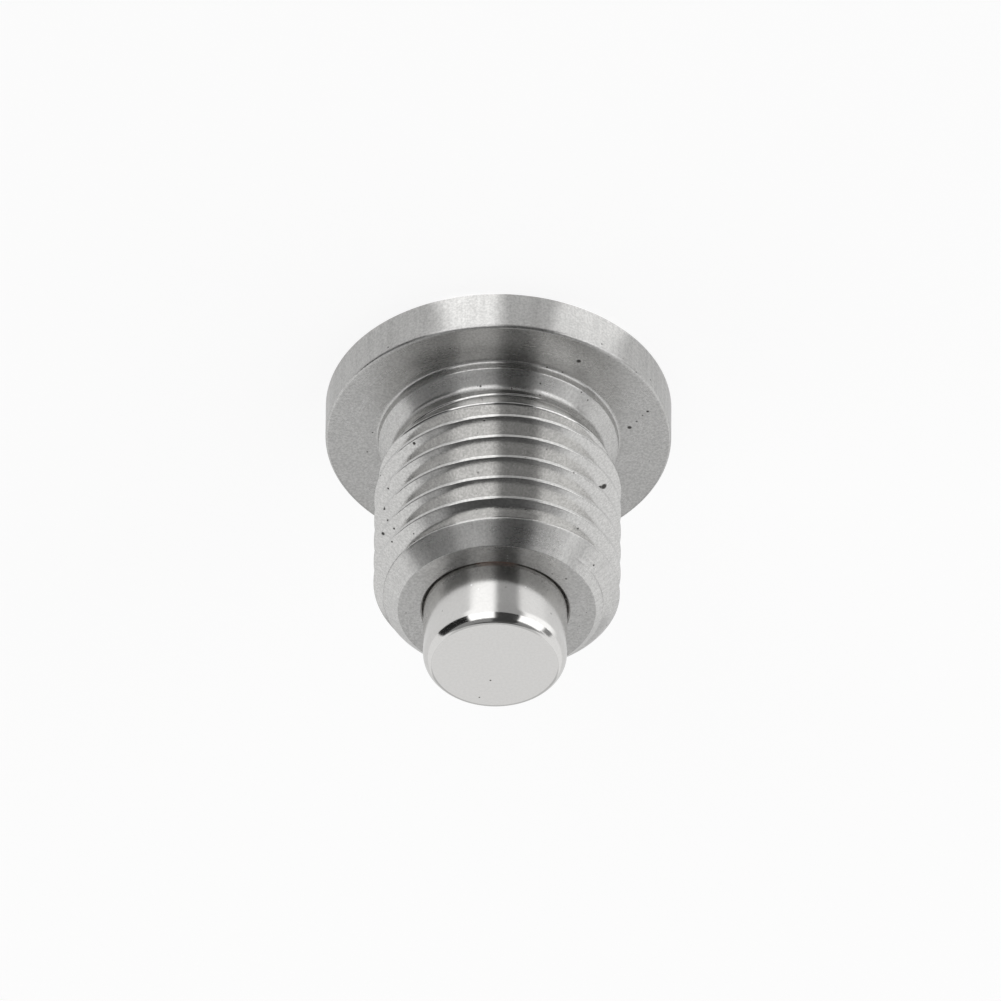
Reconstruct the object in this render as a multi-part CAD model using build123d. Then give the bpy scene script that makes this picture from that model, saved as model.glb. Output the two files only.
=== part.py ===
from build123d import *
import math
import os

# Oil drain plug, M14 x 1.5: a body turned from one bar of stainless steel, with a disc magnet in its tip.
# The plug stands on its head. Z = 0 is the back of the flange, and +Z runs along the axis to the tip.
# All sizes are in millimetres and degrees.

# Flange
flange_d = 19.3
flange_thickness = 2.5
rim_break = 0.12  # 45 degree edge break on the back rim
rim_edge_r = 0.2  # rounded edge between the rim and the flange's face

# Collar: a low step round the neck, with a seat that rises towards the axis
collar_step = 0.75  # how far the collar stands out from the neck
collar_wall = 0.5  # height of its outer edge above the flange's face
collar_foot_r = 0.15  # inner corner between the flange's face and the collar
collar_break = 0.06
seat_angle = 45.0  # slope of the seat, measured from the flange's face
neck_corner_r = 0.4  # inner corner between the seat and the neck

# Neck, where the thread runs out
neck_depth = 0.925  # how far the neck lies inside the thread's outer diameter
neck_land = 0.43  # straight part, from the corner radius to the run-out cone
run_out_angle = 30.0  # cone from the neck up to the thread, measured from the axis

# Thread
thread_d = 13.75
thread_pitch = 1.5
thread_angle = 60.0
depth_per_pitch = 0.64
root_per_pitch = 0.13  # width of the flat at the root
crest_height = 4.1  # middle of a crest on the -Y side, above the flange's face
cutter_clearance = 0.05  # how far the thread cutter passes outside the thread

# Tip
shank_length = 12.5  # from the flange's face to the end face
lead_length = 1.42  # lead chamfer, along the axis
lead_depth = 1.38  # lead chamfer, along the radius

# Magnet and its pocket
magnet_d = 8.0
magnet_length = 8.0
magnet_edge_r = 0.6
magnet_proud = 4.0  # how far the magnet stands out of the end face
pocket_clearance = 0.1  # radial, all round the magnet
pocket_break = 0.1
pocket_offset = 0.08  # the pocket was bored this far off the plug's axis, to the +X side

# Hex socket in the head
socket_across_flats = 6.0
socket_depth = 5.0
socket_lead_in = 0.2  # how far the lead-in cone opens beyond the hex's corners
socket_lead_angle = 60.0  # from the axis
drill_point_angle = 120.0

flange_face = flange_thickness
end_face = flange_face + shank_length
thread_r = thread_d / 2
neck_r = thread_r - neck_depth
collar_r = neck_r + collar_step
root_r = thread_r - depth_per_pitch * thread_pitch
tip_r = thread_r - lead_depth


def cone_height(radial_step, angle):
    """Length along the axis of a cone whose radius changes by radial_step, at this angle from the axis."""
    return radial_step / math.tan(math.radians(angle))


collar_edge = flange_face + collar_wall
seat_top = collar_edge + collar_step * math.tan(math.radians(seat_angle))
# the corner radius between the seat and the neck uses up this much of the neck
neck_start = seat_top + neck_corner_r * math.tan(math.radians(90 - seat_angle) / 2)
cone_start = neck_start + neck_land
cone_end = cone_start + cone_height(neck_depth, run_out_angle)


def turned_blank():
    """The plug before its thread is cut: one outline, revolved round the axis."""
    flange_r = flange_d / 2
    rim_back = (flange_r, 0)
    rim_front = (flange_r, flange_face)
    flange_corner = (collar_r, flange_face)
    collar_corner = (collar_r, collar_edge)
    neck_corner = (neck_r, seat_top)
    outline = Polyline(
        (0, 0),
        rim_back,
        rim_front,
        flange_corner,
        collar_corner,
        neck_corner,
        (neck_r, cone_start),
        (thread_r, cone_end),
        (thread_r, end_face - lead_length),
        (tip_r, end_face),
        (0, end_face),
        close=True,
    )
    face = make_face(outline)

    def vertex_at(point):
        return min(face.vertices(), key=lambda v: (v.X - point[0]) ** 2 + (v.Y - point[1]) ** 2)

    face = chamfer(vertex_at(rim_back), rim_break)
    face = fillet(vertex_at(rim_front), rim_edge_r)
    face = fillet(vertex_at(flange_corner), collar_foot_r)
    face = chamfer(vertex_at(collar_corner), collar_break)
    face = fillet(vertex_at(neck_corner), neck_corner_r)
    return revolve(Plane.XZ * face, Axis.Z)


def groove_half_width(radius):
    """Half the width of the thread's groove at a radius."""
    flank = (radius - root_r) * math.tan(math.radians(thread_angle / 2))
    return root_per_pitch * thread_pitch / 2 + flank


def threaded_rod():
    """A plain rod with the thread's groove cut along it: a right-hand helical sweep of the tool's outline.

    The groove starts in the neck's land and leaves past the end face, so both of its ends lie in the open
    once the rod is trimmed to the shank.
    """
    outer_r = thread_r + cutter_clearance
    start = neck_start + groove_half_width(neck_r)
    end = end_face + thread_pitch
    rod_length = end + thread_pitch - neck_start
    rod = Cylinder(thread_r, rod_length, align=(Align.CENTER, Align.CENTER, Align.MIN))
    helix = Helix(thread_pitch, end - start, root_r, center=(0, 0, start))
    outline = Polyline(
        (root_r, 0, start + groove_half_width(root_r)),
        (outer_r, 0, start + groove_half_width(outer_r)),
        (outer_r, 0, start - groove_half_width(outer_r)),
        (root_r, 0, start - groove_half_width(root_r)),
        close=True,
    )
    groove = sweep(make_face(outline), path=helix, is_frenet=True)
    # turn the groove so that a crest lies at crest_height on the -Y side
    groove_at_minus_y = flange_face + crest_height + thread_pitch / 2
    turn = 360 * (start - groove_at_minus_y) / thread_pitch - 90
    return Pos(0, 0, neck_start) * rod - Rot(0, 0, turn) * groove


def hex_socket():
    """Six-sided socket with a lead-in cone at its mouth and the pilot drill's point at its floor."""
    flat_r = socket_across_flats / 2
    corner_r = flat_r / math.cos(math.radians(30))
    mouth_r = corner_r + socket_lead_in
    hexagon = extrude(RegularPolygon(corner_r, 6), socket_depth)
    mouth_height = cone_height(mouth_r - flat_r, socket_lead_angle)
    mouth = Cone(mouth_r, flat_r, mouth_height, align=(Align.CENTER, Align.CENTER, Align.MIN))
    point_height = cone_height(flat_r, drill_point_angle / 2)
    point = Cone(flat_r, 0, point_height, align=(Align.CENTER, Align.CENTER, Align.MIN))
    return hexagon + mouth + Pos(0, 0, socket_depth) * point


def magnet_pocket():
    """Flat-bottomed bore in the end face, as deep as the magnet needs, with a broken edge."""
    pocket_r = magnet_d / 2 + pocket_clearance
    mouth_r = pocket_r + pocket_break
    depth = magnet_length - magnet_proud
    bore = Cylinder(pocket_r, depth, align=(Align.CENTER, Align.CENTER, Align.MAX))
    edge = Cone(pocket_r, mouth_r, pocket_break, align=(Align.CENTER, Align.CENTER, Align.MAX))
    return Pos(pocket_offset, 0, end_face) * (bore + edge)


def plug_body():
    """Head and threaded shank in one piece, with the hex socket and the magnet's pocket cut out."""
    blank = turned_blank()
    neck_plane = Plane.XY.offset(neck_start)
    head = split(blank, bisect_by=neck_plane, keep=Keep.BOTTOM)
    shank = split(blank, bisect_by=neck_plane, keep=Keep.TOP) & threaded_rod()
    return head + shank - hex_socket() - magnet_pocket()


def magnet():
    """Disc magnet with both edges rounded, seated on the pocket's floor and centred in it."""
    disc = Cylinder(magnet_d / 2, magnet_length, align=(Align.CENTER, Align.CENTER, Align.MAX))
    disc = fillet(disc.edges().filter_by(GeomType.CIRCLE), magnet_edge_r)
    return Pos(pocket_offset, 0, end_face + magnet_proud) * disc


parts = {"plug_body": plug_body(), "magnet": magnet()}

os.makedirs("parts", exist_ok=True)
for name, shape in parts.items():
    export_step(shape, f"parts/{name}.step")
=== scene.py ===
import math

import bmesh
import bpy
import numpy as np
from mathutils import Matrix, Vector
from mathutils.bvhtree import BVHTree


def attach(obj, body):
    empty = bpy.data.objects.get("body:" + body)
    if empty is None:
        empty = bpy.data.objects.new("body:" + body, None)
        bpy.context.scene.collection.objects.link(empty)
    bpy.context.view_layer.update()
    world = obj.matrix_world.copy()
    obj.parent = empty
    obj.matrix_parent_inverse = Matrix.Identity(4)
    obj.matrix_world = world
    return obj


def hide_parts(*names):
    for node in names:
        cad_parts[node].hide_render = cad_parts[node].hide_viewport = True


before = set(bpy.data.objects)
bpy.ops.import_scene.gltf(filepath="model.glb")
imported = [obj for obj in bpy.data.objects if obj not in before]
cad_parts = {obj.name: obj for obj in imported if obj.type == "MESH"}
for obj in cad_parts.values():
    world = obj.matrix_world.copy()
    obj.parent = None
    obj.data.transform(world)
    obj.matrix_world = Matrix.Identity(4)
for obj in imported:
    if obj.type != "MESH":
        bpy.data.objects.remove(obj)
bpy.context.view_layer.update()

# Oil drain plug, M14 x 1.5, standing on its head: its finished surfaces, its metals and a pale studio.
# Sizes are in millimetres and degrees, as in the CAD source, and go into the meshes in metres.
MM = 0.001

# Head
flange_r = 9.65
flange_face = 2.5
rim_break = 0.12
rim_edge_r = 0.2
collar_step = 0.75
collar_wall = 0.5
collar_foot_r = 0.15
collar_edge_r = 0.09
seat_angle = 45.0
neck_corner_r = 0.4

# Neck and thread
thread_r = 6.875
neck_r = 5.95
neck_land = 0.43
run_out_angle = 30.0
pitch = 1.5
flank_angle = 30.0  # from a plane square to the axis
root_r = 5.915
root_flat = 0.195
crest_height = 4.1  # of a crest on the camera's side, above the flange's face
groove_start = 4.05  # height of the groove's middle where the cutter goes in
groove_fade = 60.0  # turn over which the cutter reaches its depth
fade_power = 0.25  # below 1, so that most of the depth comes early
crest_rounding = 0.045
root_rounding = 0.07
run_out_rounding = 0.06

# Tip, magnet and socket
end_face = 15.0
lead_length = 1.42
lead_depth = 1.38
tip_margin = 0.1  # height below the end face where the tip's own rows begin
magnet_r = 4.0
magnet_length = 8.0
magnet_edge_r = 0.35  # next to its face
magnet_shoulder_r = 1.1  # next to its side
magnet_proud = 4.0
pocket_offset = 0.08  # towards +X
pocket_r = 4.07
pocket_break = 0.1
glue_drop = 0.14  # the glue in the gap round the magnet stops this far below the end face
glue_gap = 0.005
socket_flat_r = 3.0
socket_depth = 5.0
socket_lead_in = 0.2
socket_slope_angle = 60.0  # from the axis, for the lead-in cone and the drill point
edge_r = 0.05  # what the deburring wheel leaves on every outer edge

columns = 240  # round the axis: a multiple of 6, so that the socket's corners fall on columns
support = 0.04  # distance of the extra row beside a rounded corner

collar_r = neck_r + collar_step
collar_edge = flange_face + collar_wall
seat_top = collar_edge + collar_step * math.tan(math.radians(seat_angle))
neck_start = seat_top + neck_corner_r * math.tan(math.radians(90 - seat_angle) / 2)
cone_start = neck_start + neck_land
clear_r = thread_r + 1  # the cutter is off the bar
tip_r = thread_r - lead_depth
lead_start = end_face - lead_length
tip_rows_start = end_face - tip_margin
magnet_top = end_face + magnet_proud
pocket_floor = end_face - (magnet_length - magnet_proud)
groove_on_camera_side = flange_face + crest_height + pitch / 2

angles = np.arange(columns) * 2 * math.pi / columns


def soft_min(a, b, width):
    """The smaller of two values, with the corner between them rounded: where they differ by less than width,
    a parabola that is width / 4 lower at its middle takes over."""
    share = np.clip(0.5 + 0.5 * (b - a) / width, 0, 1)
    return b + (a - b) * share - width * share * (1 - share)


def soft_max(a, b, width):
    """The larger of two values, with the corner between them rounded in the same way."""
    return -soft_min(-a, -b, width)


def shank_radius(angle, height):
    """Radius of the shank at an angle round the axis and a height.

    The turned outline is the neck, its run-out cone, the thread's outer diameter and the lead chamfer, each
    a straight line in height, joined by soft minimum and soft maximum. The groove is a V with a narrow flat:
    its radius grows with the distance from the groove's middle, which climbs one pitch a turn. The shank is
    the soft minimum of the two. The groove fades in over groove_fade degrees where the cutter starts.
    """
    cone = neck_r + (height - cone_start) * math.tan(math.radians(run_out_angle))
    lead = thread_r - (height - lead_start) * lead_depth / lead_length
    outline = soft_min(soft_max(cone, neck_r, run_out_rounding), thread_r, crest_rounding)
    outline = soft_min(outline, lead, crest_rounding)
    turned = (angle + math.pi / 2) / (2 * math.pi)  # turns from the camera's side
    turns = (height - groove_on_camera_side) / pitch - turned
    nearest = np.round(turns)
    distance = np.abs(turns - nearest) * pitch
    flank = root_r + (distance - root_flat / 2) / math.tan(math.radians(flank_angle))
    groove = soft_max(flank, root_r, root_rounding)
    travel = nearest + turned - (groove_start - groove_on_camera_side) / pitch
    fade = np.clip(travel * 360 / groove_fade, 0, 1)
    groove = clear_r - (clear_r - groove) * (fade * fade * (3 - 2 * fade)) ** fade_power
    groove = np.where(travel > 0, groove, clear_r)
    return soft_min(outline, groove, crest_rounding)


def rounded_path(points, steps=5):
    """Rows of a turned outline: corner points (radius, height, corner radius), each corner replaced by an
    arc of equal turns, with a support row just outside both of its ends."""
    path = np.array([p[:2] for p in points], float)
    rows = [path[:1]]
    for before, corner, after, radius in zip(path[:-2], path[1:-1], path[2:], [p[2] for p in points[1:-1]]):
        back = (before - corner) / np.linalg.norm(before - corner)
        on = (after - corner) / np.linalg.norm(after - corner)
        half = math.acos(np.clip(back @ on, -1, 1)) / 2
        length = radius / math.tan(half)
        middle = corner + (back + on) / np.linalg.norm(back + on) * radius / math.sin(half)
        first, last = corner + back * length - middle, corner + on * length - middle
        swing = math.pi - 2 * half
        part = np.linspace(0, 1, steps + 1)[:, None]
        arc = (np.sin((1 - part) * swing) * first + np.sin(part * swing) * last) / math.sin(swing)
        rows += [[corner + back * (length + support)], middle + arc, [corner + on * (length + support)]]
    return np.concatenate(rows + [path[-1:]])


def round_rows(rows):
    """Rows (radius, height) that are the same at every angle, as two grids."""
    ones = np.ones((1, columns))
    return rows[:, :1] * ones, rows[:, 1:2] * ones


def socket_rows():
    """Hex socket from the drill point's tip to the back of the flange, as grids of radius and height.

    The hexagon's radius is its half width over the cosine of the angle from the nearest flat's middle. The
    lead-in cone cuts each wall where the cone's radius equals the hexagon's. Each stretch has its rows at the
    shares of its way that part lists.
    """
    sixth = math.radians(60)
    slope = math.tan(math.radians(socket_slope_angle))
    hexagon = socket_flat_r / np.cos((angles % sixth) - sixth / 2)
    mouth_r = socket_flat_r / math.cos(sixth / 2) + socket_lead_in
    wall_top = (mouth_r - hexagon) / slope
    part = np.array([0, 0.3, 0.6, 0.9, 0.96])[:, None]
    cone_r = part * socket_flat_r * np.ones((1, columns))
    cone_h = socket_depth + (socket_flat_r - cone_r) / slope
    part = np.array([0.3, 0.99, 1.0])[:, None]
    floor_r = cone_r[-1] + (hexagon - cone_r[-1]) * part
    floor_h = socket_depth + (cone_h[-1] - socket_depth) * (1 - part)
    part = np.array([0.99, 0.75, 0.5, 0.25, 0.05, 0.01])[:, None]
    wall_r = hexagon * np.ones((len(part), 1))
    wall_h = wall_top + (socket_depth - wall_top) * part
    part = np.array([0, 0.1, 0.5, 0.9, 1.0])[:, None]
    lead_r = hexagon + (mouth_r - hexagon) * part
    lead_h = wall_top * (1 - part)
    radii = np.concatenate([cone_r, floor_r, wall_r, lead_r])
    heights = np.concatenate([cone_h, floor_h, wall_h, lead_h])
    return radii, heights, mouth_r


def head_rows(mouth_r):
    """Back face, rim, flange face, collar and seat, up to where the shank's rows take over.

    The outline's last point only gives the neck's corner its direction. It and its support row are left out,
    and a row with the shank's own radius takes their place.
    """
    beside = 0.03  # distance of the back face's first row from the socket's mouth
    rows = rounded_path([
        (mouth_r + beside, 0, 0),
        (flange_r - rim_break, 0, edge_r),
        (flange_r, rim_break, edge_r),
        (flange_r, flange_face, rim_edge_r),
        (collar_r, flange_face, collar_foot_r),
        (collar_r, collar_edge, collar_edge_r),
        (neck_r, seat_top, neck_corner_r),
        (neck_r, cone_start, 0),
    ])
    radii, heights = round_rows(rows[:-2])
    heights = np.vstack([heights, np.full(columns, neck_start)])
    radii = np.vstack([radii, shank_radius(angles, heights[-1])])
    return radii, heights


def tip_rows():
    """Tip edge, end face and the magnet's pocket, down to the middle of its floor. The glue fills the gap.

    The rows inside the middle of the end face lie round the pocket's own axis, the others round the plug's.
    """
    slope = lead_depth / lead_length
    rows = rounded_path([
        (tip_r + tip_margin * slope, tip_rows_start, 0),
        (tip_r, end_face, edge_r),
        (pocket_r + pocket_break, end_face, edge_r / 2),
        (pocket_r, end_face - pocket_break, 0),
        (pocket_r, end_face - glue_drop, 0),
        (magnet_r + glue_gap, end_face - glue_drop, 0),
        (magnet_r + glue_gap, pocket_floor, edge_r),
        (0, pocket_floor, 0),
    ])
    radii, heights = round_rows(rows)
    radii[0] = shank_radius(angles, heights[0])
    return radii, heights, np.where(radii < (tip_r + pocket_r) / 2, pocket_offset, 0)


def shank_rows():
    """Rows that climb with the thread, one pitch a turn, denser at its crest and root.

    A row's height is its own start plus the angle's share of a pitch. It is held between the neck's and the
    tip's rows, so a row that has climbed past one of them lies on it.
    """
    above_crest = np.array([0.0, 0.045, 0.07, 0.085, 0.098, 0.111, 0.126, 0.15, 0.2, 0.26, 0.33, 0.4, 0.47,
                            0.54, 0.59, 0.62, 0.64, 0.66, 0.69, 0.72])
    offsets = np.concatenate([-above_crest[:0:-1], above_crest, [pitch / 2]])
    first_crest = groove_on_camera_side - pitch / 2 + pitch / 4  # at angle 0, a quarter turn further on
    low = math.floor((neck_start - first_crest) / pitch) - 1
    high = math.ceil((tip_rows_start - first_crest) / pitch) + 1
    starts = (first_crest + pitch * np.arange(low, high + 1)[:, None] + offsets[None, :]).ravel()
    heights = starts[:, None] + pitch * angles[None, :] / (2 * math.pi)
    snap = 0.012  # a row this close to the neck's or the tip's rows joins them
    heights = np.where(heights < neck_start + snap, neck_start, heights)
    heights = np.where(heights > tip_rows_start - snap, tip_rows_start, heights)
    radii = shank_radius(angles[None, :] * np.ones((len(starts), 1)), heights)
    return radii, heights, len(offsets)


def grid_points(radii, heights, shift=0):
    """Points of a grid of rows round the axis, row by row, each moved along +X by its own shift."""
    around = angles[None, :]
    return np.stack([radii * np.cos(around) + shift, radii * np.sin(around), heights], axis=-1).reshape(-1, 3)


def grid_faces(rows, seam_shift=0):
    """Quads between neighbouring rows and columns. The last column joins the first one seam_shift rows on."""
    row, column = np.meshgrid(np.arange(rows - 1 - seam_shift), np.arange(columns), indexing="ij")
    following = (column + 1) % columns
    ahead = row + np.where(following == 0, seam_shift, 0)
    quads = np.stack([row * columns + column, ahead * columns + following,
                      (ahead + 1) * columns + following, (row + 1) * columns + column], axis=-1)
    return quads.reshape(-1, 4)


def make_piece(name, points, faces, merge=2e-7):
    """Mesh object at the origin from points in millimetres. Points within merge, in metres, become one, so
    seams and poles close."""
    mesh = bpy.data.meshes.new(name)
    mesh.from_pydata((points * MM).tolist(), [], faces.tolist())
    shell = bmesh.new()
    shell.from_mesh(mesh)
    bmesh.ops.remove_doubles(shell, verts=shell.verts, dist=merge)
    bmesh.ops.recalc_face_normals(shell, faces=shell.faces)
    shell.to_mesh(mesh)
    shell.free()
    mesh.polygons.foreach_set("use_smooth", np.ones(len(mesh.polygons), bool))
    piece = bpy.data.objects.new(name, mesh)
    bpy.context.scene.collection.objects.link(piece)
    return piece


def plug_body_mesh():
    """The body as three grids that meet on two shared circles: socket and head, shank, tip."""
    socket_r, socket_h, mouth_r = socket_rows()
    head_r, head_h = head_rows(mouth_r)
    lower_r, lower_h = np.vstack([socket_r, head_r]), np.vstack([socket_h, head_h])
    shank_r, shank_h, rows_per_pitch = shank_rows()
    upper_r, upper_h, off_axis = tip_rows()
    points, faces, base = [], [], 0
    for radii, heights, shift, seam_shift in (
        (lower_r, lower_h, 0, 0),
        (shank_r, shank_h, 0, rows_per_pitch),
        (upper_r, upper_h, off_axis, 0),
    ):
        points.append(grid_points(radii, heights, shift))
        faces.append(grid_faces(len(radii), seam_shift) + base)
        base += radii.size
    return make_piece("turned_body", np.concatenate(points), np.concatenate(faces))


def magnet_mesh():
    """Disc magnet: its outline carried round its own axis. Each edge is rounded by two arcs that meet at 45
    degrees, a wide one next to the side and a tighter one next to the face."""
    steps = 12  # in each arc
    beside = 0.05  # distance of the extra row beside both ends of the arcs
    eighth = math.radians(45)
    inset = magnet_shoulder_r * (1 - math.cos(eighth)) + magnet_edge_r * math.cos(eighth)
    drop = magnet_edge_r * (1 - math.sin(eighth)) + magnet_shoulder_r * math.sin(eighth)
    turn = np.linspace(0, eighth, steps + 1)[:, None]
    shoulder = np.hstack([
        magnet_r - magnet_shoulder_r * (1 - np.cos(turn)),
        magnet_shoulder_r * np.sin(turn),
    ])
    turn = eighth + turn[1:]
    edge = np.hstack([
        magnet_r - inset + magnet_edge_r * np.cos(turn),
        drop - magnet_edge_r * (1 - np.sin(turn)),
    ])
    arcs = np.vstack([[[magnet_r, -beside]], shoulder, edge, [[magnet_r - inset - beside, drop]]])
    upper = arcs + [0, magnet_top - drop]
    lower = arcs[::-1] * [1, -1] + [0, pocket_floor + drop]
    rows = np.vstack([[[0, pocket_floor]], lower, upper, [[0, magnet_top]]])
    return make_piece("disc_magnet", grid_points(*round_rows(rows), pocket_offset), grid_faces(len(rows)))


# Camera at the photograph's angle: it looks down at the tip, and the picture's up is the plug's down
photo_size = 1001
pixels_per_mm = 17.92
flange_centre_px = (497.80, 439.23)
camera_elevation = math.radians(40.61)
camera_roll = math.radians(0.51)
camera_distance = 2000.0
sensor_width = 36.0

towards_camera = Vector((0, -math.cos(camera_elevation), math.sin(camera_elevation)))
level_right = Vector((-1, 0, 0))
level_down = Vector((0, math.sin(camera_elevation), math.cos(camera_elevation)))
right = level_right * math.cos(camera_roll) - level_down * math.sin(camera_roll)
down = level_right * math.sin(camera_roll) + level_down * math.cos(camera_roll)
middle_px = (photo_size - 1) / 2  # pixels are counted from 0, at their middles
aim = Vector((0, 0, flange_face))
aim += right * (middle_px - flange_centre_px[0]) / pixels_per_mm
aim += down * (middle_px - flange_centre_px[1]) / pixels_per_mm


def surface_of(piece):
    """Search tree over the faces of a piece."""
    shell = bmesh.new()
    shell.from_mesh(piece.data)
    tree = BVHTree.FromBMesh(shell)
    shell.free()
    return tree


def seen_at(surface, pixel):
    """Point in metres where the line of sight through a pixel of the photograph first meets a surface."""
    clear_of_plug = towards_camera * 100
    start = aim + (right * (pixel[0] - middle_px) + down * (pixel[1] - middle_px)) / pixels_per_mm
    return surface.ray_cast((start + clear_of_plug) * MM, -towards_camera)[0]


def placed(marks, surface):
    """Marks given by pixel as marks given by points on a surface."""
    return [(seen_at(surface, pixel), radius) for pixel, radius in marks]


class Graph:
    """Adds nodes to a node tree. A plain value is set on its input, and a socket is linked to it."""

    def __init__(self, tree):
        self.tree = tree

    def add(self, kind, inputs=None, **settings):
        node = self.tree.nodes.new(kind)
        for name, value in settings.items():
            setattr(node, name, value)
        for name, value in (inputs or {}).items():
            socket = node.inputs[name]
            if isinstance(value, bpy.types.NodeSocket):
                self.tree.links.new(value, socket)
            else:
                socket.default_value = value
        return node

    def math(self, operation, *values, clamp=False):
        node = self.add("ShaderNodeMath", dict(enumerate(values)), operation=operation, use_clamp=clamp)
        return node.outputs[0]

    def vector(self, operation, *values):
        node = self.add("ShaderNodeVectorMath", dict(enumerate(values)), operation=operation)
        return node.outputs["Value" if operation in ("LENGTH", "DISTANCE") else "Vector"]

    def noise(self, place, scale, detail, roughness):
        node = self.add("ShaderNodeTexNoise", {"Vector": place, "Scale": scale, "Detail": detail,
                                               "Roughness": roughness})
        return node.outputs["Fac"]

    def ramp(self, value, low, high, to_low=0.0, to_high=1.0, unit=1.0):
        """Smooth step of a value from low to high, which are given in this unit."""
        inputs = {"Value": value, "From Min": low * unit, "From Max": high * unit,
                  "To Min": to_low, "To Max": to_high}
        node = self.add("ShaderNodeMapRange", inputs, interpolation_type="SMOOTHSTEP")
        return node.outputs["Result"]

    def band(self, value, rise, fall, unit=1.0):
        """1 between two soft steps of a value: up over rise and down over fall, both (start, end)."""
        up = self.ramp(value, rise[0], rise[1], unit=unit)
        return self.math("MULTIPLY", up, self.ramp(value, fall[1], fall[0], unit=unit))

    def mix(self, factor, a, b, blend="MIX"):
        """Colour a where the factor is 0, and b, or a blended with b, where it is 1."""
        node = self.add("ShaderNodeMix", {"Factor": factor, "A": a, "B": b},
                        data_type="RGBA", blend_type=blend)
        return node.outputs["Result"]

    def off_axis(self, x, y):
        """Distance from the Z axis."""
        return self.math("SQRT", self.math("ADD", self.math("MULTIPLY", x, x), self.math("MULTIPLY", y, y)))

    def spots(self, place, marks):
        """1 inside every mark (point in metres, radius in millimetres), fading out over its outer half."""
        found = 0.0
        for point, radius in marks:
            away = self.vector("DISTANCE", place, point)
            inside = self.ramp(away, radius, 0.5 * radius, unit=MM)
            found = self.math("MAXIMUM", found, inside)
        return found


def new_group(name, inputs, outputs):
    """A shader node group with named inputs (name, socket type, default) and outputs (name, socket type)."""
    tree = bpy.data.node_groups.new(name, "ShaderNodeTree")
    for label, kind, value in inputs:
        socket = tree.interface.new_socket(name=label, in_out="INPUT", socket_type=kind)
        if value is not None:
            socket.default_value = value
    for label, kind in outputs:
        tree.interface.new_socket(name=label, in_out="OUTPUT", socket_type=kind)
    graph = Graph(tree)
    return tree, graph, graph.add("NodeGroupInput").outputs, graph.add("NodeGroupOutput")


def new_material(name):
    """A material, its graph and its Principled BSDF."""
    material = bpy.data.materials.new(name)
    material.use_nodes = True
    return material, Graph(material.node_tree), material.node_tree.nodes["Principled BSDF"]


FLOAT, VECTOR = "NodeSocketFloat", "NodeSocketVector"


def turning_lines_group():
    """Fine lines that a turning tool leaves: noise that runs quickly across the axis' distance and height and
    slowly round the axis, so each line is a long arc. Density is in lines per metre."""
    tree, g, given, result = new_group(
        "turning_lines",
        [("Position", VECTOR, None), ("Density", FLOAT, 6000.0), ("Detail", FLOAT, 2.0)],
        [("Lines", FLOAT)],
    )
    x, y, z = g.add("ShaderNodeSeparateXYZ", {0: given["Position"]}).outputs
    along = 120.0  # how often the lines change along their length, per metre
    point = g.add("ShaderNodeCombineXYZ", {0: g.math("MULTIPLY", x, along), 1: g.math("MULTIPLY", y, along),
                                           2: g.math("MULTIPLY", z, given["Density"])})
    across = g.math("MULTIPLY", g.off_axis(x, y), given["Density"])
    noise = g.add("ShaderNodeTexNoise", {"Vector": point.outputs[0], "W": across, "Scale": 1.0,
                                         "Detail": given["Detail"], "Roughness": 0.6}, noise_dimensions="4D")
    g.tree.links.new(noise.outputs["Fac"], result.inputs["Lines"])
    return tree


def pits_group():
    """Small pits: the distance to the nearest of many scattered points, kept only round the few points whose
    random number passes a threshold."""
    tree, g, given, result = new_group(
        "pits",
        [("Position", VECTOR, None), ("Scale", FLOAT, 2500.0), ("Share", FLOAT, 0.1), ("Size", FLOAT, 0.25)],
        [("Mask", FLOAT)],
    )
    cells = g.add("ShaderNodeTexVoronoi", {"Vector": given["Position"], "Scale": given["Scale"]})
    chance = g.add("ShaderNodeSeparateColor", {0: cells.outputs["Color"]}).outputs
    kept = g.math("LESS_THAN", chance[0], given["Share"])
    reach = g.math("MULTIPLY", given["Size"], g.math("ADD", 0.4, chance[1]))
    inside = g.math("SUBTRACT", 1.0, g.math("DIVIDE", cells.outputs["Distance"], reach), clamp=True)
    g.tree.links.new(g.math("MULTIPLY", g.ramp(inside, 0.0, 0.5), kept), result.inputs["Mask"])
    return tree


turning_lines = turning_lines_group()
pits = pits_group()

# Steel
steel_colour = (0.580, 0.576, 0.566, 1)
scratch_colour = (0.95, 0.95, 0.94, 1)
speck_colour = (0.07, 0.066, 0.062, 1)
glue_colour = (0.20, 0.19, 0.18, 1)
smear_colour = (0.70, 0.54, 0.48, 1)
matt_roughness = 0.29  # face, collar, seat, lead chamfer and end face
thread_roughness = 0.14
rim_roughness = 0.34
grain_shades = (0.86, 1.12)  # darkest and brightest of the sandy grain
streak_shade = 0.4
painted_light_gain = 0.12  # painted light: the thread and the lead chamfer are made this much brighter in colour
painted_face_shade = 0.14  # painted shade: the flange's face and the end face are made this much darker in colour

# Nickel
nickel_colour = (0.77, 0.762, 0.748, 1)
nick_colour = (1, 1, 1, 1)
nickel_speck_colour = (0.12, 0.11, 0.10, 1)
nickel_roughness = (0.09, 0.14)  # clearest and cloudiest
side_roughness = 0.06  # added on the magnet's side
pocket_shade_depth = 0.2  # painted shade: how much darker the nickel is made next to the pocket
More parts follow.
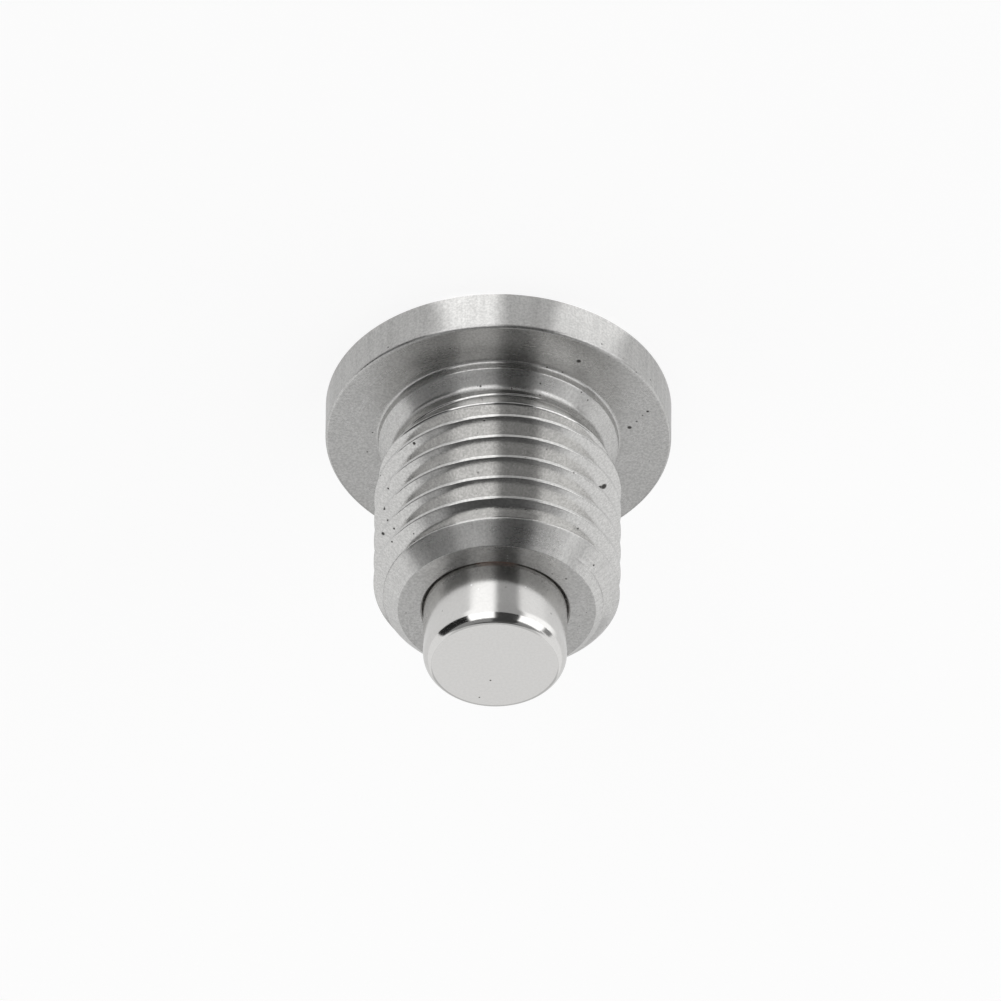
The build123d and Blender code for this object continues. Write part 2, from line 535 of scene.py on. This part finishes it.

# What the plug has caught, as (pixel of the photograph, radius in mm): dark specks and chips, one bright
# scratch on the end face, bright nicks on the magnet's side, and a smear of glue above it
body_specks = [
    ((603, 486), 0.22), ((599, 487), 0.15), ((578, 361), 0.17), ((629, 427), 0.15), ((636, 421), 0.07),
    ((642, 415), 0.06), ((647, 411), 0.10), ((562, 372), 0.06), ((601, 344), 0.06), ((372, 432), 0.06),
    ((414, 443), 0.11), ((384, 508), 0.12), ((388, 520), 0.10), ((383, 533), 0.13), ((394, 528), 0.08),
    ((392, 541), 0.07), ((480, 386), 0.07), ((388, 488), 0.08), ((577, 528), 0.07),
]
body_scratch = [((507, 555), 0.06), ((507, 557.5), 0.06), ((507, 560), 0.06)]
magnet_specks = [((490, 679), 0.07), ((479, 696), 0.06)]
magnet_nicks = [
    ((471, 584), 0.08), ((525, 586), 0.07), ((478, 588), 0.04), ((505, 571), 0.05), ((519, 590), 0.04),
]
glue_smear = [((496, 560), 1.5)]


def stainless_material(surface):
    """Bar stock turned on a lathe: stretched gloss across the tool's lines, the lines themselves, a sandy
    grain, soft streaks across the rim and the chamfer, pits and specks. Painted light brightens the thread
    and the lead chamfer, and painted shade darkens the flange's face and the end face. The thread is
    smoothest, the rim dullest."""
    material, g, shader = new_material("turned_stainless")
    place = g.add("ShaderNodeTexCoord").outputs["Object"]
    lines = g.add("ShaderNodeGroup", {"Position": place, "Density": 7000.0, "Detail": 3.0},
                  node_tree=turning_lines).outputs["Lines"]
    holes = g.add("ShaderNodeGroup", {"Position": place, "Scale": 2600.0, "Share": 0.12, "Size": 0.15},
                  node_tree=pits).outputs["Mask"]
    blotch = g.noise(place, 420.0, 4.0, 0.6)
    grain = g.noise(place, 7500.0, 2.0, 0.7)
    outwards = g.vector("MULTIPLY", place, (1, 1, 0))
    off_centre = g.vector("LENGTH", outwards)
    streak = g.noise(g.vector("NORMALIZE", outwards), 26.0, 3.0, 0.6)

    # Where each face of the plug lies, with soft borders
    height_up = g.add("ShaderNodeSeparateXYZ", {0: place}).outputs[2]
    on_thread = g.band(height_up, (neck_start, neck_start + 0.1), (lead_start - 0.1, lead_start + 0.1), MM)
    on_rim = g.math("MULTIPLY", g.ramp(height_up, flange_face - 0.02, flange_face - rim_edge_r, unit=MM),
                    g.ramp(off_centre, flange_r - 0.06, flange_r - 0.02, unit=MM))
    on_lead = g.band(height_up, (lead_start - 0.05, lead_start + 0.05),
                     (end_face - 0.05, end_face - 0.01), MM)
    on_face = g.band(height_up, (flange_face - 0.03, flange_face - 0.01),
                     (flange_face + 0.01, flange_face + 0.03), MM)
    on_end = g.ramp(height_up, end_face - 0.03, end_face - 0.01, unit=MM)

    # Colour of the bare steel, with painted light and painted shade on some of its faces
    plain = g.mix(g.spots(place, placed(body_scratch, surface)), steel_colour, scratch_colour)
    shade = g.ramp(grain, 0.3, 0.7, *grain_shades)
    streaked = g.math("MULTIPLY", g.math("MAXIMUM", on_rim, on_lead), g.math("SUBTRACT", streak, 0.5))
    shade = g.math("ADD", shade, g.math("MULTIPLY", streaked, streak_shade))
    # Painted light and shade: the thread and the lead chamfer are lightened, the flange's face and the end
    # face darkened
    bright = g.math("ADD", g.math("MULTIPLY", g.math("MAXIMUM", on_thread, on_lead), painted_light_gain),
                    g.math("MULTIPLY", g.math("MAXIMUM", on_face, on_end), -painted_face_shade))
    shade = g.math("ADD", shade, bright)
    tone = g.mix(1.0, plain, shade, "MULTIPLY")

    # Specks, pits and glue over it
    specks = g.spots(place, placed(body_specks, surface))
    dark = g.math("MAXIMUM", specks, holes)
    tone = g.mix(dark, tone, speck_colour)
    from_pocket = g.vector("MULTIPLY", g.vector("SUBTRACT", place, (pocket_offset * MM, 0, 0)), (1, 1, 0))
    from_pocket = g.vector("LENGTH", from_pocket)
    in_gap = g.math("MULTIPLY", g.ramp(from_pocket, pocket_r + 0.02, pocket_r - 0.005, unit=MM),
                    g.ramp(height_up, end_face - 1, end_face - 0.5, unit=MM))
    smear = g.math("MULTIPLY", g.spots(place, placed(glue_smear, surface)),
                   g.ramp(from_pocket, pocket_r + 0.16, pocket_r + 0.08, unit=MM))
    glue = g.mix(smear, glue_colour, smear_colour)
    tone = g.mix(g.math("MAXIMUM", in_gap, g.math("MULTIPLY", smear, 0.6)), tone, glue)
    g.tree.links.new(tone, shader.inputs["Base Color"])
    bare = g.math("SUBTRACT", 1.0, g.math("MAXIMUM", specks, in_gap))
    g.tree.links.new(bare, shader.inputs["Metallic"])

    # Gloss, and the relief of lines, grain and pits
    rough = g.math("ADD", g.ramp(blotch, 0.3, 0.7, matt_roughness - 0.03, matt_roughness + 0.03),
                   g.math("MULTIPLY", g.math("SUBTRACT", lines, 0.5), 0.12))
    rough = g.math("SUBTRACT", rough, g.math("MULTIPLY", on_thread, matt_roughness - thread_roughness))
    rough = g.math("ADD", rough, g.math("MULTIPLY", on_rim, rim_roughness - matt_roughness))
    rough = g.math("ADD", rough, g.math("MULTIPLY", specks, 0.4))
    g.tree.links.new(rough, shader.inputs["Roughness"])
    height = g.math("SUBTRACT", lines, g.math("MULTIPLY", dark, 3.0))
    sandy = g.math("SUBTRACT", 1.6, g.math("MULTIPLY", on_thread, 1.2))
    height = g.math("ADD", height, g.math("MULTIPLY", grain, sandy))
    bump = g.add("ShaderNodeBump", {"Height": height, "Strength": 0.3, "Distance": 0.004 * MM})
    g.tree.links.new(bump.outputs["Normal"], shader.inputs["Normal"])
    shader.inputs["Anisotropic"].default_value = 0.7
    shader.inputs["Anisotropic Rotation"].default_value = 0.25
    tangent = g.add("ShaderNodeTangent", direction_type="RADIAL", axis="Z")
    g.tree.links.new(tangent.outputs[0], shader.inputs["Tangent"])
    return material


def nickel_material(surface):
    """Barrel-plated nickel: nearly a mirror, with a faint cloud in its gloss, painted shade that darkens it
    and strengthens its mottle next to the pocket, and with a few fine specks and nicks."""
    material, g, shader = new_material("plated_nickel")
    place = g.add("ShaderNodeTexCoord").outputs["Object"]
    cloud = g.noise(place, 500.0, 3.0, 0.5)
    fine = g.noise(place, 6000.0, 2.0, 0.6)
    height_up = g.add("ShaderNodeSeparateXYZ", {0: place}).outputs[2]
    on_side = g.ramp(height_up, magnet_top - 0.85, magnet_top - 1.3, unit=MM)
    holes = g.add("ShaderNodeGroup", {"Position": place, "Scale": 2000.0, "Share": 0.05, "Size": 0.12},
                  node_tree=pits).outputs["Mask"]
    specks = g.math("MAXIMUM", g.math("MULTIPLY", holes, 0.5),
                    g.spots(place, placed(magnet_specks, surface)))
    # Painted shade: darker and more mottled over the lowest 1.5 mm of the magnet's side, next to the pocket
    painted_pocket_shade = g.ramp(height_up, end_face + 1.5, end_face + 0.4, unit=MM)
    spread = g.math("ADD", 0.04, g.math("MULTIPLY", painted_pocket_shade, 0.14))
    shade = g.math("MULTIPLY", spread, g.math("SUBTRACT", g.ramp(fine, 0.3, 0.7), 0.5))
    shade = g.math("ADD", shade, g.math("SUBTRACT", 1.0, g.math("MULTIPLY", painted_pocket_shade, pocket_shade_depth)))
    tone = g.mix(1.0, nickel_colour, shade, "MULTIPLY")
    tone = g.mix(g.spots(place, placed(magnet_nicks, surface)), tone, nick_colour)
    tone = g.mix(specks, tone, nickel_speck_colour)
    g.tree.links.new(tone, shader.inputs["Base Color"])
    rough = g.ramp(cloud, 0.3, 0.7, *nickel_roughness)
    rough = g.math("ADD", rough, g.math("MULTIPLY", on_side, side_roughness))
    g.tree.links.new(rough, shader.inputs["Roughness"])
    height = g.math("ADD", cloud, g.math("MULTIPLY", g.math("MULTIPLY", fine, on_side), 0.3))
    bump = g.add("ShaderNodeBump", {"Height": height, "Strength": 0.2, "Distance": 0.01 * MM})
    g.tree.links.new(bump.outputs["Normal"], shader.inputs["Normal"])
    shader.inputs["Metallic"].default_value = 1.0
    return material


body = plug_body_mesh()
body.data.materials.append(stainless_material(surface_of(body)))
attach(body, "root")
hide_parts("plug_body")

disc = magnet_mesh()
disc.data.materials.append(nickel_material(surface_of(disc)))
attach(disc, "root")
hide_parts("magnet")

lens = bpy.data.cameras.new("camera")
lens.sensor_width = sensor_width
lens.lens = pixels_per_mm * camera_distance * sensor_width / photo_size
lens.clip_start = 0.01
lens.clip_end = 20
camera = bpy.data.objects.new("camera", lens)
camera_place = Matrix.Translation((aim + towards_camera * camera_distance) * MM)
camera.matrix_world = camera_place @ Matrix((right, -down, towards_camera)).transposed().to_4x4()
bpy.context.scene.collection.objects.link(camera)
bpy.context.scene.camera = camera

# Studio, in metres
white = (1, 1, 1, 1)
white_glow = 0.86  # the rest of the table's white is what the panels throw on it
table_grey = (0.2, 0.2, 0.2, 1)
table_reach = 1.5
table_drop = 0.00002  # keeps the table just clear of the plug's back
room_light = 0.45


def white_rays(g, path):
    """1 for the camera's rays and for those that metal or glass sends on, which see a white background."""
    seen = g.math("ADD", path["Is Camera Ray"], path["Is Glossy Ray"])
    return g.math("ADD", seen, path["Is Transmission Ray"], clamp=True)


def stage_piece(name, points, faces):
    """A mesh of the stage, with an empty material for its light. Its glow isn't sampled as a lamp's, which
    keeps the render quick."""
    mesh = bpy.data.meshes.new(name)
    mesh.from_pydata(points, [], faces)
    material, g, _ = new_material(name)
    g.tree.nodes.clear()
    material.cycles.emission_sampling = "NONE"
    mesh.materials.append(material)
    piece = bpy.data.objects.new(name, mesh)
    bpy.context.scene.collection.objects.link(piece)
    return piece, g


def light_in_metal(g):
    """How bright the table is in the metal: it is brightest in front of the two low panels and greyest
    between them. Azimuth is counted in degrees from the camera's side towards the picture's right."""
    x, y, z = g.add("ShaderNodeSeparateXYZ", {0: g.add("ShaderNodeTexCoord").outputs["Object"]}).outputs
    azimuth = g.math("ARCTAN2", g.math("MULTIPLY", x, -1.0), g.math("MULTIPLY", y, -1.0))
    azimuth = g.math("MULTIPLY", azimuth, 180 / math.pi)
    distance = g.off_axis(x, y)
    far = g.ramp(distance, 0.010, 0.025)
    farther = g.ramp(distance, 0.025, 0.045)
    narrower = g.math("SUBTRACT", 1.7, g.math("MULTIPLY", far, 0.7))
    azimuth = g.math("MULTIPLY", azimuth, g.math("SUBTRACT", narrower, g.math("MULTIPLY", farther, 0.12)))
    lit_left = g.band(azimuth, (-44, -30), (-6, 6))
    lit_right = g.band(azimuth, (30, 42), (74, 92))
    between = g.band(azimuth, (-6, 6), (30, 42))
    left_gain = g.math("SUBTRACT", 0.8, g.math("MULTIPLY", far, 0.3))
    right_gain = g.math("ADD", 0.5, g.math("MULTIPLY", g.math("SUBTRACT", farther, far), 0.36))
    gain = g.math("ADD", g.math("MULTIPLY", lit_left, left_gain), g.math("MULTIPLY", lit_right, right_gain))
    dip = g.math("MULTIPLY", between, g.math("ADD", 0.04, g.math("MULTIPLY", far, 0.34)))
    return g.math("ADD", 0.62, g.math("SUBTRACT", gain, dip))


def white_floor():
    """Plain white table: white for the camera and in the metal, and it keeps the plug's soft shadow. It is
    clear from below."""
    low, high = -table_reach, table_reach
    corners = [(low, low, -table_drop), (high, low, -table_drop), (high, high, -table_drop),
               (low, high, -table_drop)]
    table, g = stage_piece("table", corners, [(0, 1, 2, 3)])
    path = g.add("ShaderNodeLightPath").outputs
    in_metal = g.math("MULTIPLY", path["Is Glossy Ray"], g.math("SUBTRACT", light_in_metal(g), white_glow))
    strength = g.math("ADD", g.math("MULTIPLY", white_rays(g, path), white_glow), in_metal)
    matt = g.add("ShaderNodeBsdfDiffuse", {"Color": table_grey}).outputs[0]
    glow = g.add("ShaderNodeEmission", {"Color": white, "Strength": strength}).outputs[0]
    both = g.add("ShaderNodeAddShader", {0: matt, 1: glow}).outputs[0]
    clear = g.add("ShaderNodeBsdfTransparent").outputs[0]
    below = g.add("ShaderNodeNewGeometry").outputs["Backfacing"]
    mixed = g.add("ShaderNodeMixShader", {0: below, 1: both, 2: clear}).outputs[0]
    g.add("ShaderNodeOutputMaterial", {"Surface": mixed})


def bent_panel(name, azimuths, elevations, strength, distance, edge=0.1):
    """Studio panel bent round the plug: a grid over azimuth, counted from the camera's side towards the
    picture's right, and elevation, at one distance. Its light fades out over a share, edge, of its width and
    of its height at each side."""
    wide, tall = 33, 17  # points across and up
    across = np.radians(np.linspace(*azimuths, wide))[None, :]
    up = np.radians(np.linspace(*elevations, tall))[:, None]
    points = np.stack([-np.sin(across) * np.cos(up), -np.cos(across) * np.cos(up),
                       np.sin(up) * np.ones_like(across)], axis=-1).reshape(-1, 3) * distance
    row, column = np.meshgrid(np.arange(tall - 1), np.arange(wide - 1), indexing="ij")
    first = row * wide + column
    faces = np.stack([first, first + 1, first + wide + 1, first + wide], axis=-1).reshape(-1, 4)
    panel, g = stage_piece(name, points.tolist(), faces.tolist())
    layer = panel.data.uv_layers.new(name="sheet")
    share = np.stack(np.meshgrid(np.linspace(0, 1, wide), np.linspace(0, 1, tall)), axis=-1).reshape(-1, 2)
    layer.data.foreach_set("uv", share[faces.ravel()].astype(np.float32).ravel())
    light = g.add("ShaderNodeEmission", {"Color": white, "Strength": strength}).outputs[0]
    if edge > 0:
        uv = g.add("ShaderNodeSeparateXYZ", {0: g.add("ShaderNodeTexCoord").outputs["UV"]}).outputs
        fades = [g.ramp(g.math("MINIMUM", k, g.math("SUBTRACT", 1.0, k)), 0.0, edge) for k in uv[:2]]
        clear = g.add("ShaderNodeBsdfTransparent").outputs[0]
        light = g.add("ShaderNodeMixShader", {0: g.math("MULTIPLY", *fades), 1: clear, 2: light}).outputs[0]
    g.add("ShaderNodeOutputMaterial", {"Surface": light})
    panel.visible_camera = False


# Nearer panels cover the ones behind them: two bright low panels and a dim slit in front, then the dark flags
# between and above them, and round everything the tent's pale walls
white_floor()
bent_panel("panel_left", (-42, 1), (-9, 37), 1.55, distance=0.40)
bent_panel("panel_right", (34, 79), (-9, 37), 1.5, distance=0.40)
bent_panel("slit_right", (72, 94), (-5, 26), 0.25, distance=0.41)
bent_panel("flag_front", (-8, 42), (-5, 66), 0.05, distance=0.42)
bent_panel("flag_left", (-94, -36), (-5, 34), 0.02, distance=0.43, edge=0.05)
bent_panel("flag_over", (-98, 94), (27, 66), 0.26, distance=0.44)
bent_panel("tent_top", (-90, 94), (56, 90), 0.08, distance=0.46, edge=0.15)
bent_panel("tent_back", (145, 215), (30, 64), 0.80, distance=0.48, edge=0.2)
bent_panel("tent_right", (70, 158), (-5, 62), 0.88, distance=0.50)
bent_panel("tent_left", (-158, -84), (-5, 62), 0.85, distance=0.50)
bent_panel("tent", (-180, 180), (-5, 90), 0.55, distance=0.55, edge=0.0)

world = bpy.data.worlds.new("studio_room")
bpy.context.scene.world = world
world.use_nodes = True
room = Graph(world.node_tree)
shown = white_rays(room, room.add("ShaderNodeLightPath").outputs)
background = world.node_tree.nodes["Background"]
background.inputs["Color"].default_value = white
room.tree.links.new(room.ramp(shown, 0.0, 1.0, room_light, 1.0), background.inputs["Strength"])

bpy.context.scene.view_settings.view_transform = "Standard"
